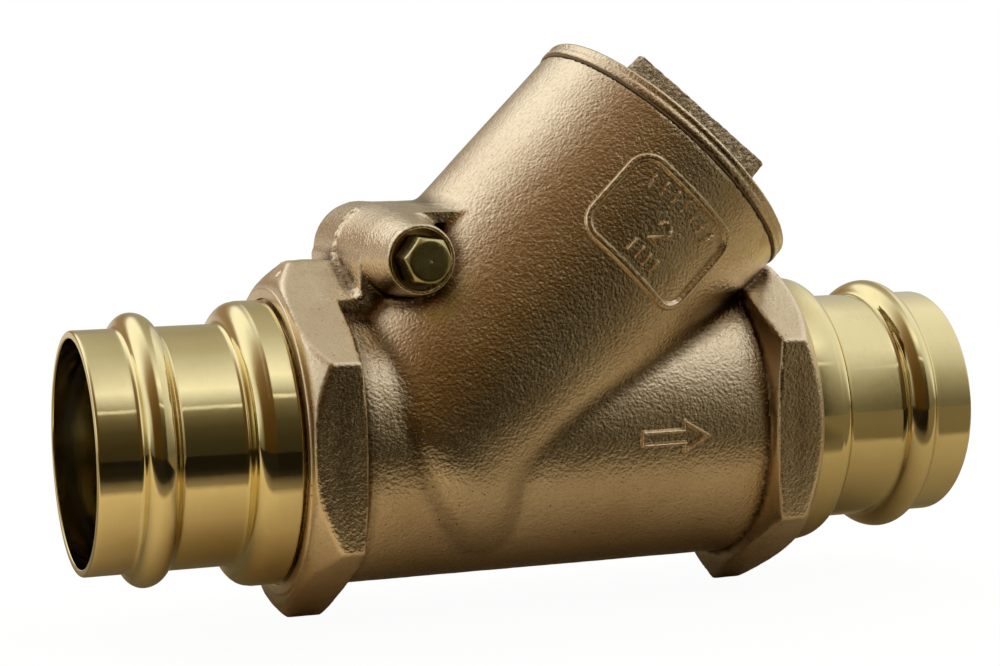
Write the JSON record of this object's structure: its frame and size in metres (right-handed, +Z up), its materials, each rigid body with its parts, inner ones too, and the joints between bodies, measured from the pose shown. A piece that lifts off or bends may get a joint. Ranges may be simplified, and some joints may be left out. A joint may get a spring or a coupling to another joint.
{
  "type": "y-pattern swing check valve",
  "caption": "Y-pattern bronze swing check valve with a hinged disc, a screwed bonnet on a 45 degree branch and a press socket at each end.",
  "frame": {"origin": "centre of the inlet socket's mouth, on the run's axis", "axes": "+X along the run in the flow's direction, +Z up in the plane of the branch, +Y away from the side plug"},
  "size_m": [0.2256, 0.0782, 0.1383],
  "materials": {
    "cast_bronze": "sand-cast, semi-gloss",
    "press_brass": "satin turned",
    "seal_rubber": "matt",
    "gasket_fibre": "matt",
    "soft_disc": "smooth",
    "machined_bronze": "machined",
    "steel": "ground",
    "nut_brass": "turned"
  },
  "bodies": {
    "body": {"valve_body": "cast_bronze", "inlet_press_end": "press_brass", "outlet_press_end": "press_brass", "inlet_o_ring": "seal_rubber", "outlet_o_ring": "seal_rubber", "hinge_pin": "steel", "hinge_pin_plug": "press_brass"},
    "arm": {"hinge_arm": "machined_bronze"},
    "disc": {"disc_holder": "machined_bronze", "seat_disc": "soft_disc", "seat_disc_washer": "machined_bronze", "seat_disc_nut": "nut_brass", "disc_washer": "machined_bronze", "disc_nut": "nut_brass", "disc_lock_pin": "steel"},
    "gasket": {"bonnet_gasket": "gasket_fibre"},
    "bonnet": {"bonnet_cap": "cast_bronze"}
  },
  "joints": [
    {"name": "disc_swing", "type": "hinge", "parent": "body", "child": "arm", "pos_m": [0.0765, 0, 0.04483], "axis": [0, -1, 0], "range_deg": [0, 55]},
    {"name": "disc_spin", "type": "hinge", "parent": "arm", "child": "disc", "pos_m": [0.10132, 0, 0.01662], "axis": [0.7071, 0, 0.7071], "continuous": true},
    {"name": "bonnet_lift", "type": "slide", "parent": "body", "child": "gasket", "axis": [0.7071, 0, 0.7071], "range_m": [0, 0.013]},
    {"name": "bonnet_turn", "type": "hinge", "parent": "gasket", "child": "bonnet", "pos_m": [0.15018, 0, 0.06548], "axis": [0.7071, 0, 0.7071], "range_deg": [0, 2340]}
  ],
  "couplings": [
    {"joint": "bonnet_lift", "follows": "bonnet_turn", "m_per_rad": 0.00031831}
  ]
}
